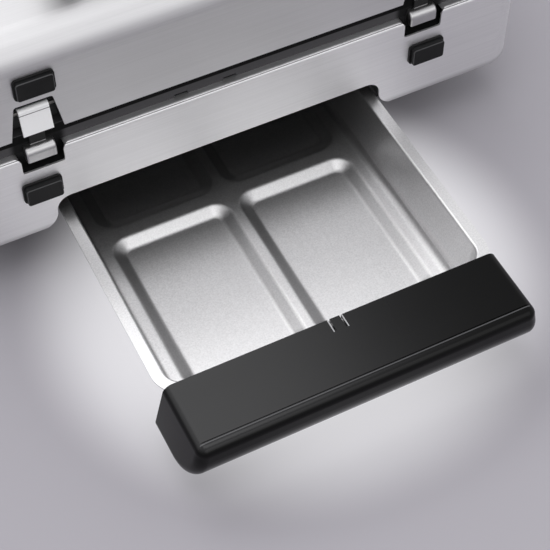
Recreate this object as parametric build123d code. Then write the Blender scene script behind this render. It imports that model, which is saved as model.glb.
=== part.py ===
from build123d import *
import os

# All lengths are in millimetres. +Z is up, the table is at zero, and the tray pulls out along -Y.

# Body: steel skirt below, dark band in the middle, steel lid above
body_corner = 22.0
steel_wall = 1.2
foot_drop = 39.0
base_height = 69.0
band_height = 16.5
lid_height = 70.0
lid_edge = 20.0
base_edge = 2.6
flange_width = 10.0
hem_width = 3.2
hem_height = 4.0
hem_edge = 1.5
cut_over = 2.0
hole_gap = 0.3

# Opening for the tray in the front of the skirt
notch_gap = 2.0
notch_height = 24.0
notch_corner = 10.0
notch_flare = 13.0

# Drip tray: pressed sheet with a flat rim, drafted walls and four sunken basins
tray_shift = 13.0
tray_sheet = 1.0
tray_width = 225.0
tray_length = 314.0
tray_drop = 13.5
tray_depth = 38.5
tray_rim = 8.0
tray_corner = 12.0
tray_draft = 8.0
tray_foot_radius = 6.0
tray_roll = 1.6
basin_depth = 4.0
basin_margin = 14.2
basin_rib = 7.0
basin_row_rib = 11.0
basin_corner = 12.0
basin_draft = 62.0
basin_round = 6.0
basin_rows = 2
basin_columns = 2
tongue_inset = 17.5
tongue_length = 16.0

# Pull of the tray: a hollow moulded hood that is screwed on the tongue of the tray
tray_pull = 150.0
panel_gap = 1.5
rim_tuck = 6.5
handle_depth = 50.5
handle_height = 39.0
handle_rise = 5.5
handle_over = 6.5
handle_lean = 13.0
handle_flat = 5.5
handle_edge = 6.5
handle_wall = 3.0
handle_groove_width = 1.0
handle_groove_depth = 0.5
tab_width = 6.5
tab_length = 9.0
tab_slit = 1.2
tray_boss_radius = 5.0
tray_screw_inset = 42.5

# Moulded pan under the body with two pods that carry the feet, and the tray tunnel between them
pan_wall = 2.5
pan_gap = 0.5
pod_inset = 34.0
pod_gap = 5.0
pod_side = 32.0
tunnel_roof = 2.0
tunnel_back = 8.0
drain_width = 44.0
drain_depth = 14.0
drain_setback = 62.0

# Runners that carry the tray by its rim
rail_sheet = 1.2
rail_reach = 9.5
rail_lip = 8.0
rail_leg = 12.0
rail_front = 22.0
rail_back = 4.0
rail_gap = 0.3
rail_lip_gap = 1.5
rivet_head_radius = 3.2
rivet_head = 1.0
rivet_count = 3

# Feet
foot_radius = 11.0
foot_height = 8.0
foot_edge = 1.5
foot_inset = 27.0
foot_side = 24.0
foot_recess_radius = 4.5
foot_recess = 4.0
screw_radius = 1.9
screw_head_radius = 3.6
screw_head = 1.8
screw_length = 8.0

# Dark band that seats on the skirt's flange and carries the lower plate
deck_inset = 6.0
deck_wall = 3.0
deck_gap = 2.6
ledge_width = 7.0
spigot_depth = 6.0
plate_sink = 2.0
vent_width = 9.0
vent_height = 2.2
vent_depth = 1.2
vent_pitch = 33.0
vent_count = 2
vent_shift = 21.0

# Grill plates, heaters and reflectors
plate_width = 360.0
plate_depth = 262.0
plate_side = 30.0
plate_front = 29.0
plate_corner = 16.0
plate_gap = 0.6
plate_thick = 5.0
ridge_height = 4.0
ridge_width = 4.5
ridge_count = 21
ridge_margin = 14.0
food_gap = 6.0
heater_radius = 3.5
heater_margin_x = 44.0
heater_margin_y = 46.0
heater_runs = 4
heater_bend = 16.0
heater_lead = 24.0
reflector_sheet = 0.8
reflector_depth = 20.0
reflector_lip = 6.0
reflector_corner = 20.0
clip_width = 10.0
clip_sheet = 1.2
clip_spread = 180.0
clip_gap = 0.3
chute_wall = 1.5

# Lid lining that carries the upper plate
liner_rise = 1.2
liner_gap = 0.6
liner_corner = 12.0

# Rear hinges
hinge_spread = 250.0
hinge_offset = 7.5
knuckle_radius = 5.0
hinge_pin_radius = 2.2
pin_play = 0.05
knuckle_length = 12.0
knuckle_gap = 0.4
leaf_thick = 2.0
leaf_height = 20.0
leaf_setback = 4.0
leaf_width = 38.0
leaf_screw_spread = 24.0

# Front latches: chrome levers in pockets of the lid, keepers on the band, rubber bumpers
latch_spread = 262.0
pocket_width = 24.0
pocket_mouth = 33.0
pocket_height = 26.5
pocket_corner = 2.0
pocket_depth = 11.0
pocket_wall = 1.5
lever_width = 18.8
lever_length = 16.5
lever_sheet = 1.6
lever_barrel = 2.4
lever_pin_radius = 1.2
lever_pin_back = 3.6
lever_pin_drop = 8.2
lever_angle = 12.0
lever_edge = 0.7
claw_width = 10.0
claw_reach = 1.6
claw_thick = 1.6
claw_setback = 1.2
keeper_width = 19.0
keeper_height = 10.0
keeper_drop = 5.0
keeper_proud = 0.5
keeper_edge = 5.0
keeper_side_edge = 1.2
strike_sheet = 1.4
strike_reach = 1.4
strike_gap = 0.4
keeper_slot_width = 27.0
keeper_slot_depth = 13.0
keeper_slot_corner = 1.5
keeper_slot_flare = 4.0
bumper_width = 25.5
bumper_height = 16.0
bumper_corner = 3.0
bumper_edge = 0.8
bumper_flange = 1.6
bumper_step = 1.2
lid_bumper_spread = 258.0
base_bumper_spread = 269.0
lid_bumper_proud = 4.0
base_bumper_proud = 5.5
lid_bumper_lift = 40.0
base_bumper_drop = 30.0

# Thermostat controls on both sides
knob_radius = 17.0
knob_skirt_radius = 20.0
knob_skirt = 4.0
knob_grip = 12.0
knob_edge = 1.5
knob_flute_radius = 3.0
knob_flutes = 12
knob_pointer_width = 1.8
knob_pointer_height = 0.6
knob_gap = 0.6
knob_setback = 110.0
knob_height = 74.0
bezel_radius = 25.0
bezel_thick = 1.5
shaft_radius = 3.0
thermostat_size = 34.0
thermostat_thick = 20.0
lamp_radius = 3.5
lamp_proud = 2.0
lamp_edge = 1.2
lamp_shift = 34.0
lamp_flange_radius = 5.0
lamp_flange = 1.0

# Mains inlet in the rear wall
inlet_shift = 60.0
inlet_height = 82.0
inlet_width = 28.0
inlet_tall = 20.0
inlet_deep = 18.0
inlet_wall = 2.0
inlet_flange_width = 46.0
inlet_flange_tall = 26.0
inlet_flange = 2.5
inlet_pin_width = 2.0
inlet_pin_tall = 4.0
inlet_pin_long = 13.0
inlet_pin_pitch = 7.0

# Lid grip on two posts
grip_radius = 10.0
grip_length = 170.0
grip_rise = 30.0
grip_setback = 46.0
post_thick = 14.0
post_depth = 26.0
post_edge = 2.0
grip_screw_radius = 4.0
grip_screw_head = 2.0

# Sizes, heights and places that follow from the sizes above
body_width = plate_width + 2 * plate_side
body_depth = plate_depth + 2 * plate_front
notch_width = tray_width + 2 * notch_gap
handle_length = tray_width + 2 * handle_over
tray_x = -tray_shift
pod_inner = tray_width / 2 + pod_gap
pod_outer = body_width / 2 - pod_side
base_low = foot_drop
notch_top = base_low + notch_height
base_top = base_low + base_height
lid_low = base_top + band_height
lid_top = lid_low + lid_height
front_reach = tray_pull + panel_gap + handle_depth
rear_reach = body_depth + hinge_offset + knuckle_radius
front_y = (front_reach - rear_reach) / 2
rear_y = front_y + body_depth
mid_y = (front_y + rear_y) / 2
side_x = body_width / 2
sides = {"left": -1, "right": 1}
rim_top = notch_top - tray_drop
tray_floor = rim_top - tray_depth
handle_back = front_y - tray_pull - panel_gap
handle_front = handle_back - handle_depth
handle_top = rim_top + handle_rise
handle_low = handle_top - handle_height
handle_nose = handle_height - handle_edge - handle_flat
tray_front = handle_back - rim_tuck
tray_mid = tray_front + tray_length / 2
pan_flange_low = base_low + hem_height
roof_low = notch_top + tunnel_roof
tunnel_end = rear_y - steel_wall - tunnel_back
deck_top = lid_low - deck_gap
deck_front = front_y + deck_inset
plate_low = deck_top - plate_sink - ridge_height - plate_thick
upper_plate_high = plate_low + 2 * (plate_thick + ridge_height) + food_gap
latch_x = latch_spread / 2
lever_pin_y = front_y + lever_pin_back
lever_pin_z = lid_low + pocket_height - lever_pin_drop
hinge_y = rear_y + hinge_offset
hinge_z = (base_top + lid_low) / 2
knob_y = front_y + knob_setback
grip_y = front_y + grip_setback
grip_z = lid_top + grip_rise


def brick(x_ends, y_ends, z_ends):
    """Box between two ends on each axis."""
    spans = [sorted(ends) for ends in (x_ends, y_ends, z_ends)]
    sizes = [high - low for low, high in spans]
    middle = [(low + high) / 2 for low, high in spans]
    return Pos(*middle) * Box(*sizes)


def slab(width, depth, corner, low, high, y=None):
    """Upright block with rounded corners, centred on the body unless y is given."""
    place = mid_y if y is None else y
    return Pos(0, place, low) * extrude(RectangleRounded(width, depth, corner), high - low)


def rod(radius, start, end):
    """Round bar from one point to another."""
    path = Vector(*end) - Vector(*start)
    plane = Plane(origin=start, z_dir=path)
    return extrude(plane * Circle(radius), path.length)


def both_ways(middle, reach):
    """The two ends that lie the same reach to each side of a middle."""
    return (middle - reach, middle + reach)


def edge_slot(x, width, y_ends, mouth, end, corner, flare):
    """Cutter for a slot that is open at the height mouth, with rounded inner and outer corners."""
    way = 1 if end > mouth else -1
    outside = mouth - way * cut_over
    cutter = brick(both_ways(x, width / 2), y_ends, (outside, end))
    far = cutter.edges().filter_by(Axis.Y).sort_by(Axis.Z)
    cutter = fillet(far[-2:] if way > 0 else far[:2], corner)
    for side in sides.values():
        wall = x + side * width / 2
        centre = wall + side * flare
        wedge = brick((wall, centre), y_ends, (outside, mouth + way * flare))
        wedge -= rod(flare, *[(centre, y, mouth + way * flare) for y in y_ends])
        cutter += wedge
    return cutter


def screw(head_centre, way, head_radius, head, radius, length):
    """Pan-head screw: its head stands out against way, and its shank runs along way."""
    seat = Vector(*head_centre)
    along = Vector(*way)
    button = rod(head_radius, seat - along * head, seat)
    return button + rod(radius, seat, seat + along * length)


def write(name, shape):
    """Saves one piece, or a group of separate solids, under its name."""
    export_step(shape, os.path.join("parts", name + ".step"))


def group(solids):
    """Separate solids that share one name."""
    return Compound(children=[solid for piece in solids for solid in piece.solids()])


# Steel skirt with its flange, hem, tray notch, keeper slots and holes

def base_shell():
    shell = slab(body_width, body_depth, body_corner, base_low, base_top)
    shell = fillet(shell.faces().sort_by(Axis.Z)[-1].edges(), base_edge)
    shell = fillet(shell.faces().sort_by(Axis.Z)[0].edges(), hem_edge)
    for inset, low, high in (
        (hem_width, base_low - cut_over, base_low + hem_height),
        (steel_wall, base_low + hem_height, base_top - steel_wall),
        (flange_width, base_top - steel_wall, base_top + cut_over),
    ):
        shell -= slab(body_width - 2 * inset, body_depth - 2 * inset, body_corner - inset, low, high)
    wall_cut = (front_y - cut_over, front_y + hem_width + cut_over)
    shell -= edge_slot(tray_x, notch_width, wall_cut, base_low, notch_top, notch_corner, notch_flare)
    flange_cut = (front_y - cut_over, front_y + flange_width + cut_over)
    for side in sides.values():
        shell -= edge_slot(
            side * latch_x, keeper_slot_width, flange_cut, base_top, base_top - keeper_slot_depth,
            keeper_slot_corner, keeper_slot_flare,
        )
        for y, radius in ((knob_y, shaft_radius), (knob_y + lamp_shift, lamp_radius)):
            inside = (side * (side_x - steel_wall - cut_over), y, knob_height)
            outside = (side * (side_x + cut_over), y, knob_height)
            shell -= rod(radius + hole_gap, inside, outside)
    shell -= brick(
        both_ways(inlet_shift, inlet_width / 2 + hole_gap),
        both_ways(rear_y, steel_wall + cut_over),
        both_ways(inlet_height, inlet_tall / 2 + hole_gap),
    )
    return shell


# Moulded pan: flange on the hem, two pods, and the tunnel roof with the drain opening

def bottom_pan():
    inset = steel_wall + pan_gap
    flange_high = pan_flange_low + pan_wall
    width = body_width - 2 * inset
    depth = body_depth - 2 * inset
    pan = slab(width, depth, body_corner - inset, pan_flange_low, flange_high)
    pod_y = (front_y + pod_inset, rear_y - pod_inset)
    pod_low = foot_height
    for side in sides.values():
        pan += brick((tray_x + side * pod_inner, side * pod_outer), pod_y, (pod_low, flange_high))
    roof_high = roof_low + pan_wall
    cover_x = both_ways(tray_x, pod_inner + pan_wall)
    pan += brick(cover_x, (front_y + hem_width + pan_gap, tunnel_end + pan_wall), (pan_flange_low, roof_high))
    for side in sides.values():
        pan -= brick(
            (tray_x + side * (pod_inner + pan_wall), side * (pod_outer - pan_wall)),
            (pod_y[0] + pan_wall, pod_y[1] - pan_wall),
            (pod_low + pan_wall, flange_high + cut_over),
        )
    tunnel_y = (front_y - cut_over, tunnel_end)
    pan -= brick(both_ways(tray_x, pod_inner), tunnel_y, (pod_low - cut_over, roof_low))
    pan -= drain_shaft(0, roof_low - cut_over, roof_high + cut_over)
    for x, y in foot_places():
        pan -= rod(screw_radius, (x, y, pod_low - cut_over), (x, y, pod_low + pan_wall + cut_over))
    return pan


def drain_shaft(growth, low, high):
    """Upright shaft under the plate's drain slot, grown by a wall or a gap."""
    y = front_y + drain_setback
    x_ends = both_ways(0, drain_width / 2 + growth)
    return brick(x_ends, both_ways(y, drain_depth / 2 + growth), (low, high))


def drain_chute():
    low = roof_low
    high = reflector_low() + reflector_sheet
    return drain_shaft(0, low, high) - drain_shaft(-chute_wall, low - cut_over, high + cut_over)


# Feet under the pods

def foot_places():
    x = pod_outer - foot_side
    inset = pod_inset + foot_inset
    return [(side * x, y) for side in sides.values() for y in (front_y + inset, rear_y - inset)]


def rubber_feet():
    feet = []
    for x, y in foot_places():
        foot = rod(foot_radius, (x, y, 0), (x, y, foot_height))
        foot = fillet(foot.edges().sort_by(Axis.Z)[0], foot_edge)
        foot -= rod(foot_recess_radius, (x, y, -cut_over), (x, y, foot_recess))
        foot -= rod(screw_radius, (x, y, 0), (x, y, foot_height + cut_over))
        feet.append(foot)
    return group(feet)


def foot_screws():
    screws = []
    for x, y in foot_places():
        seat = (x, y, foot_recess)
        screws.append(screw(seat, (0, 0, 1), screw_head_radius, screw_head, screw_radius, screw_length))
    return group(screws)


# Runners: a shelf under the tray's rim, an upright leg and a lip over the rim

def rail_ends():
    return (front_y + rail_front, tunnel_end - rail_back)


def tray_rail(side):
    shelf_high = rim_top - tray_sheet - rail_gap
    lip_low = rim_top + rail_lip_gap
    wall, leg, shelf, lip = [
        tray_x + side * (pod_inner - reach) for reach in (0, rail_sheet, rail_reach, rail_lip)
    ]
    rail = brick((wall, leg), rail_ends(), (shelf_high - rail_leg, lip_low + rail_sheet))
    rail += brick((wall, shelf), rail_ends(), (shelf_high - rail_sheet, shelf_high))
    rail += brick((wall, lip), rail_ends(), (lip_low, lip_low + rail_sheet))
    return rail


def rail_rivets():
    z = rim_top - tray_sheet - rail_gap - (rail_sheet + rail_leg) / 2
    first, last = rail_ends()
    rivets = []
    for side in sides.values():
        for k in range(rivet_count):
            y = first + (last - first) * (k + 0.5) / rivet_count
            seat = (tray_x + side * (pod_inner - rail_sheet), y, z)
            rivets.append(rod(rivet_head_radius, seat, (seat[0] - side * rivet_head, y, z)))
    return group(rivets)


# Tray: rim, tub, basins and the tongue that the pull is screwed on

def tub(growth, low_growth):
    """Drafted block of the tray's inside, grown by the sheet for the outside."""
    width = tray_width - 2 * tray_rim + 2 * growth
    length = tray_length - 2 * tray_rim + 2 * growth
    outline = RectangleRounded(width, length, tray_corner + growth)
    block = extrude(outline, -(tray_depth + low_growth), taper=tray_draft)
    block = fillet(block.faces().sort_by(Axis.Z)[0].edges(), tray_foot_radius + growth)
    return Pos(0, tray_mid, rim_top) * block


def basin_places():
    """Middle and size of each sunken basin in the tray's floor."""
    shrink = 2 * (tray_rim + basin_margin) + tray_foot_radius
    wide = (tray_width - shrink - basin_rib) / basin_columns
    long = (tray_length - shrink - basin_row_rib) / basin_rows
    places = []
    for column in range(basin_columns):
        for row in range(basin_rows):
            x = (column - (basin_columns - 1) / 2) * (wide + basin_rib)
            y = tray_mid + (row - (basin_rows - 1) / 2) * (long + basin_row_rib)
            places.append((x, y, wide, long))
    return places


def basin(place, growth):
    """Drafted block that sinks one basin below the floor."""
    x, y, wide, long = place
    outline = RectangleRounded(wide + 2 * growth, long + 2 * growth, basin_corner + growth)
    block = extrude(outline, -basin_depth, taper=basin_draft)
    block = fillet(block.faces().sort_by(Axis.Z)[0].edges(), basin_round + growth)
    return Pos(x, y, tray_floor) * block


def drip_tray():
    tray = Pos(0, tray_mid, rim_top - tray_sheet) * extrude(
        RectangleRounded(tray_width, tray_length, tray_corner + tray_rim), tray_sheet
    )
    tongue_y = (tray_front - tongue_length, tray_front + tray_rim)
    tray += brick(both_ways(0, tray_width / 2 - tongue_inset), tongue_y, (rim_top - tray_sheet, rim_top))
    tray += tub(tray_sheet, tray_sheet)
    for place in basin_places():
        tray += Pos(0, 0, -tray_sheet) * basin(place, tray_sheet)
    tray -= tub(0, 0)
    for place in basin_places():
        tray -= basin(place, 0)
    inner = [edge for edge in tray.edges().filter_by_position(Axis.Z, rim_top, rim_top) if edge_inside(edge)]
    tray = fillet(inner, tray_roll)
    level = tray.edges().filter_by_position(Axis.Z, tray_floor, tray_floor)
    tray = fillet([edge for edge in level if on_basin(edge)], basin_round)
    for x, y in tray_screw_places():
        hole = rod(screw_radius, (x, y, rim_top - tray_sheet - cut_over), (x, y, rim_top + cut_over))
        tray -= hole
    return Pos(tray_x, 0, 0) * tray


def edge_inside(edge):
    """True for the edges where the rim turns down into the tub."""
    reach_x = tray_width / 2 - tray_rim + tray_sheet / 2
    reach_y = tray_length / 2 - tray_rim + tray_sheet / 2
    ends = [edge @ share for share in (0, 1)]
    return all(abs(end.X) < reach_x and abs(end.Y - tray_mid) < reach_y for end in ends)


def on_basin(edge):
    """True for the edges where the floor turns down into a basin."""
    middle = edge @ 0.5
    return any(
        abs(middle.X - x) < wide / 2 + hole_gap and abs(middle.Y - y) < long / 2 + hole_gap
        for x, y, wide, long in basin_places()
    )


def tray_screw_places():
    """Places of the pull's screws, with x from the tray's middle."""
    y = tray_front - tongue_length / 2
    return [(side * (tray_width / 2 - tray_screw_inset), y) for side in sides.values()]


# Pull: top, nose and leaning ends as one hood, open at the back over the tongue

def handle_section(growth):
    """Side outline of the hood, or of its hollow where growth is below zero, as a face across X."""
    back = handle_back + (cut_over if growth < 0 else 0)
    front = handle_front - growth
    low, high = handle_low - growth, handle_top + growth
    nose = handle_nose + growth
    edge = handle_edge + growth
    turn_share = 1 - 0.5 ** 0.5
    nose_mid = (front + nose * turn_share, low + nose * turn_share)
    edge_mid = (front + edge * turn_share, high - edge * turn_share)
    outline = Wire([
        Line((back, low), (front + nose, low)),
        ThreePointArc((front + nose, low), nose_mid, (front, low + nose)),
        Line((front, low + nose), (front, high - edge)),
        ThreePointArc((front, high - edge), edge_mid, (front + edge, high)),
        Line((front + edge, high), (back, high)),
        Line((back, high), (back, low)),
    ])
    return Plane.YZ * make_face(outline)


def leaning_end(side, growth):
    """Cutter for what lies beyond one leaning end of the hood."""
    reach = handle_length / 2 + growth
    y_ends = both_ways((handle_back + handle_front) / 2, handle_depth)
    block = Rot(0, -handle_lean, 0) * brick((0, handle_length), y_ends, both_ways(0, handle_length))
    placed = Pos(reach, 0, handle_low) * block
    return placed if side > 0 else mirror(placed, about=Plane.YZ)


def hood(growth):
    """Solid of the hood's outside, or of its hollow where growth is below zero."""
    body = extrude(handle_section(growth), handle_length / 2 + cut_over, both=True)
    for side in sides.values():
        body -= leaning_end(side, growth)
    return body


def tray_handle():
    shell = hood(0)
    by_x = shell.faces().sort_by(Axis.X)
    ends = [by_x[0], by_x[-1]]
    rims = [edge for face in ends for edge in face.edges() if (edge @ 0.5).Z > handle_low + handle_nose / 2]
    rims = [edge for edge in rims if (edge @ 0.5).Y < handle_back - handle_edge / 2]
    shell = fillet(rims, handle_edge)
    shell -= hood(-handle_wall)
    groove_y = handle_front + handle_edge
    shell -= brick(
        both_ways(0, handle_length),
        (groove_y, groove_y + handle_groove_width),
        (handle_top - handle_groove_depth, handle_top + cut_over),
    )
    for side in sides.values():
        slit_x = side * (tab_width + tab_slit) / 2
        shell -= brick(
            both_ways(slit_x, tab_slit / 2),
            (handle_back - tab_length, handle_back + cut_over),
            (handle_top - handle_wall - cut_over, handle_top + cut_over),
        )
    for x, y in tray_screw_places():
        boss = rod(tray_boss_radius, (x, y, rim_top), (x, y, handle_top - handle_wall))
        shell += boss
        shell -= rod(screw_radius, (x, y, rim_top - cut_over), (x, y, handle_top - handle_wall))
    return Pos(tray_x, 0, 0) * shell


def tray_screws():
    reach = handle_top - handle_wall - rim_top + tray_sheet
    seats = [(tray_x + x, y, rim_top - tray_sheet) for x, y in tray_screw_places()]
    return group(screw(seat, (0, 0, 1), screw_head_radius, screw_head, screw_radius, reach) for seat in seats)


# Band on the skirt's flange, with the ledge for the lower plate and shallow vents

def deck_ring():
    width = body_width - 2 * deck_inset
    depth = body_depth - 2 * deck_inset
    ring = slab(width, depth, body_corner - deck_inset, base_top, deck_top)
    throat = flange_width + pan_gap
    low = base_top - spigot_depth
    ring += slab(body_width - 2 * throat, body_depth - 2 * throat, body_corner - throat, low, base_top)
    hole_width = plate_width + 2 * plate_gap
    hole_depth = plate_depth + 2 * plate_gap
    inset = 2 * (throat + deck_wall)
    hollow = slab(
        body_width - inset, body_depth - inset, body_corner - throat - deck_wall,
        low - cut_over, deck_top - deck_wall,
    )
    hollow -= slab(
        hole_width + 2 * deck_wall, hole_depth + 2 * deck_wall, plate_corner + deck_wall,
        plate_low - deck_wall, deck_top - deck_wall,
    )
    ring -= hollow
    ring -= slab(hole_width, hole_depth, plate_corner, plate_low, deck_top + cut_over)
    ring -= slab(
        hole_width - 2 * ledge_width, hole_depth - 2 * ledge_width, plate_corner, low - cut_over, plate_low,
    )
    for k in range(vent_count):
        x = (k - (vent_count - 1) / 2) * vent_pitch - vent_shift
        ring -= brick(
            both_ways(x, vent_width / 2),
            (deck_front - cut_over, deck_front + vent_depth),
            (base_top - cut_over, base_top + vent_height),
        )
    return ring


# Grill plates with ridges

def ridges(low, high):
    """Bars from front to back, spread over a plate."""
    y_ends = both_ways(mid_y, plate_depth / 2 - ridge_margin)
    pitch = (plate_width - 2 * ridge_margin - ridge_width) / (ridge_count - 1)
    bars = []
    for k in range(ridge_count):
        x = (k - (ridge_count - 1) / 2) * pitch
        bars.append(brick(both_ways(x, ridge_width / 2), y_ends, (low, high)))
    return bars


def lower_plate():
    high = plate_low + plate_thick
    plate = slab(plate_width, plate_depth, plate_corner, plate_low, high)
    plate = plate.fuse(*ridges(high, high + ridge_height))
    plate -= drain_shaft(-chute_wall, plate_low - cut_over, high + ridge_height + cut_over)
    return plate


def upper_plate():
    low = upper_plate_high - plate_thick
    plate = slab(plate_width, plate_depth, plate_corner, low, upper_plate_high)
    return plate.fuse(*ridges(low - ridge_height, low))


# Bent tube heaters

def heater(z):
    reach = plate_width / 2 - heater_margin_x
    first = mid_y - plate_depth / 2 + heater_margin_y
    pitch = (plate_depth - 2 * heater_margin_y) / (heater_runs - 1)
    points = [(reach + heater_lead, first, z)]
    for k in range(heater_runs):
        start = reach if k % 2 == 0 else -reach
        y = first + k * pitch
        if k > 0:
            points.append((start, y, z))
        points.append((-start, y, z))
    points[-1] = (reach + heater_lead, points[-1][1], z)
    path = FilletPolyline(*points, radius=heater_bend)
    section = Plane(origin=points[0], z_dir=(-1, 0, 0)) * Circle(heater_radius)
    return sweep(section, path=path)


def heater_clips(z, floor):
    """Strips that stand on the reflector and cradle the outer runs of a heater."""
    first = mid_y - plate_depth / 2 + heater_margin_y
    last = mid_y + plate_depth / 2 - heater_margin_y
    clips = []
    for side in sides.values():
        x_ends = both_ways(side * clip_spread / 2, clip_sheet / 2)
        for y in (first, last):
            clip = brick(x_ends, both_ways(y, clip_width / 2), (floor, z))
            clips.append(clip - heater_hole(y, z))
    return group(clips)


def heater_hole(y, z):
    reach = plate_width / 2
    return rod(heater_radius + clip_gap, (-reach, y, z), (reach, y, z))


def lower_heater_z():
    return plate_low - heater_radius


def upper_heater_z():
    return upper_plate_high + heater_radius


# Reflector pans behind the heaters

def reflector_low():
    return plate_low - deck_wall - reflector_depth


def reflector(rim, way):
    """Shallow sheet pan whose rim is at the height rim and whose bowl lies along way."""
    width = plate_width + 2 * plate_gap - 2 * ledge_width + 2 * reflector_lip
    depth = plate_depth + 2 * plate_gap - 2 * ledge_width + 2 * reflector_lip
    bowl_width = width - 4 * reflector_lip
    bowl_depth = depth - 4 * reflector_lip
    deep = way * reflector_depth
    skin = way * reflector_sheet
    ends = sorted((rim, rim + skin))
    pan = slab(width, depth, reflector_corner, *ends)
    pan += slab(bowl_width, bowl_depth, reflector_corner, *sorted((rim, rim + deep)))
    inner = 2 * reflector_sheet
    cavity = sorted((rim - way * cut_over, rim + deep - skin))
    return pan - slab(bowl_width - inner, bowl_depth - inner, reflector_corner - reflector_sheet, *cavity)


def lower_reflector():
    low = reflector_low()
    return reflector(plate_low - deck_wall, -1) - drain_shaft(0, low - cut_over, low + cut_over)


def upper_reflector():
    return reflector(liner_high(), 1)


# Lid: steel shell, lining, grip

def lid_shell():
    shell = slab(body_width, body_depth, body_corner, lid_low, lid_top)
    shell = fillet(shell.faces().sort_by(Axis.Z)[-1].edges(), lid_edge)
    inset = 2 * steel_wall
    hollow = slab(
        body_width - inset, body_depth - inset, body_corner - steel_wall,
        lid_low - cut_over, lid_top - steel_wall,
    )
    shell -= fillet(hollow.faces().sort_by(Axis.Z)[-1].edges(), lid_edge - steel_wall)
    wall_cut = (front_y - cut_over, front_y + steel_wall + cut_over)
    for side in sides.values():
        shell -= pocket_opening(side * latch_x, wall_cut)
    return shell


def pocket_opening(x, y_ends):
    """Cutter for the opening of a latch pocket, which widens down to the lid's lower edge."""
    half_top = pocket_width / 2
    half_mouth = pocket_mouth / 2
    high = lid_low + pocket_height
    outline = make_face(Polyline(
        (x - half_mouth, lid_low - cut_over),
        (x - half_mouth, lid_low),
        (x - half_top, high),
        (x + half_top, high),
        (x + half_mouth, lid_low),
        (x + half_mouth, lid_low - cut_over),
        close=True,
    ))
    cutter = Pos(0, y_ends[1], 0) * extrude(Plane.XZ * outline, y_ends[1] - y_ends[0])
    return fillet(cutter.edges().filter_by(Axis.Y).sort_by(Axis.Z)[-2:], pocket_corner)


def liner_low():
    return lid_low + liner_rise


def liner_high():
    return upper_plate_high + deck_wall


def lid_liner():
    inset = steel_wall
    liner = slab(
        body_width - 2 * inset, body_depth - 2 * inset, body_corner - inset, liner_low(), liner_high(),
    )
    margin = pocket_depth + liner_gap + deck_wall
    channel = slab(
        body_width - 2 * margin, body_depth - 2 * margin, liner_corner,
        liner_low() + deck_wall, liner_high() + cut_over,
    )
    channel -= slab(
        plate_width + 2 * (plate_gap + deck_wall), plate_depth + 2 * (plate_gap + deck_wall),
        plate_corner + plate_gap + deck_wall, liner_low() + deck_wall, liner_high() + cut_over,
    )
    liner -= channel
    hole_width = plate_width + 2 * plate_gap - 2 * ledge_width
    hole_depth = plate_depth + 2 * plate_gap - 2 * ledge_width
    liner -= slab(hole_width, hole_depth, plate_corner, liner_low() - cut_over, liner_high() + cut_over)
    liner -= slab(
        plate_width + 2 * plate_gap, plate_depth + 2 * plate_gap, plate_corner + plate_gap,
        liner_low() - cut_over, upper_plate_high,
    )
    reach = pocket_mouth / 2 + pocket_wall + liner_gap
    for side in sides.values():
        liner -= brick(
            both_ways(side * latch_x, reach),
            (front_y, front_y + pocket_depth + liner_gap),
            (liner_low() - cut_over, liner_high() + cut_over),
        )
    return liner


def lid_post(side):
    x_ends = (side * grip_length / 2, side * (grip_length / 2 + post_thick))
    post = brick(x_ends, both_ways(grip_y, post_depth / 2), (lid_top, grip_z))
    crown = rod(post_depth / 2, (x_ends[0], grip_y, grip_z), (x_ends[1], grip_y, grip_z))
    post += crown
    outer = post.faces().sort_by(Axis.X)[-1 if side > 0 else 0]
    return fillet([edge for edge in outer.edges() if (edge @ 0.5).Z > lid_top], post_edge)


def lid_grip():
    half = grip_length / 2
    return rod(grip_radius, (-half, grip_y, grip_z), (half, grip_y, grip_z))


def grip_caps():
    reach = grip_length / 2 + post_thick
    caps = []
    for side in sides.values():
        ends = [(side * x, grip_y, grip_z) for x in (reach, reach + grip_screw_head)]
        cap = rod(grip_screw_radius, *ends)
        outer = cap.edges().sort_by(Axis.X)[-1 if side > 0 else 0]
        caps.append(fillet(outer, grip_screw_head / 2))
    return group(caps)


# Rear hinges: the base part has two outer knuckles, the lid part has the middle one

def hinge_half(side, knuckles, plate_ends):
    """Leaf on the rear wall with its knuckles, before the pin's bore is cut."""
    middle = side * hinge_spread / 2
    low, high = sorted(plate_ends)
    leaf_y = (rear_y, rear_y + leaf_thick)
    half = brick(both_ways(middle, leaf_width / 2), leaf_y, (low, high))
    near = low if low > hinge_z else high
    for start, end in knuckles:
        x_ends = (middle + start, middle + end)
        half += rod(knuckle_radius, (x_ends[0], hinge_y, hinge_z), (x_ends[1], hinge_y, hinge_z))
        half += brick(x_ends, (rear_y, rear_y + leaf_thick), (near, hinge_z))
        half += brick(x_ends, (rear_y, hinge_y), both_ways(hinge_z, leaf_thick / 2))
    ends = [x for knuckle in knuckles for x in knuckle]
    axis_ends = [middle + min(ends) - cut_over, middle + max(ends) + cut_over]
    half -= rod(hinge_pin_radius + pin_play, *[(x, hinge_y, hinge_z) for x in axis_ends])
    return half


def knuckle_spans():
    """Ends of the base's two knuckles, then of the lid's middle one, from the hinge's middle."""
    inner = knuckle_length / 2
    outer = inner + knuckle_gap + knuckle_length
    return [(-outer, -inner - knuckle_gap), (inner + knuckle_gap, outer)], [(-inner, inner)]


def base_leaf_ends():
    return (base_top - leaf_setback - leaf_height, base_top - leaf_setback)


def lid_leaf_ends():
    return (lid_low + leaf_setback, lid_low + leaf_setback + leaf_height)


def hinge_pin(side):
    reach = knuckle_length / 2 + knuckle_gap + knuckle_length
    middle = side * hinge_spread / 2
    return rod(hinge_pin_radius, (middle - reach, hinge_y, hinge_z), (middle + reach, hinge_y, hinge_z))


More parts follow.
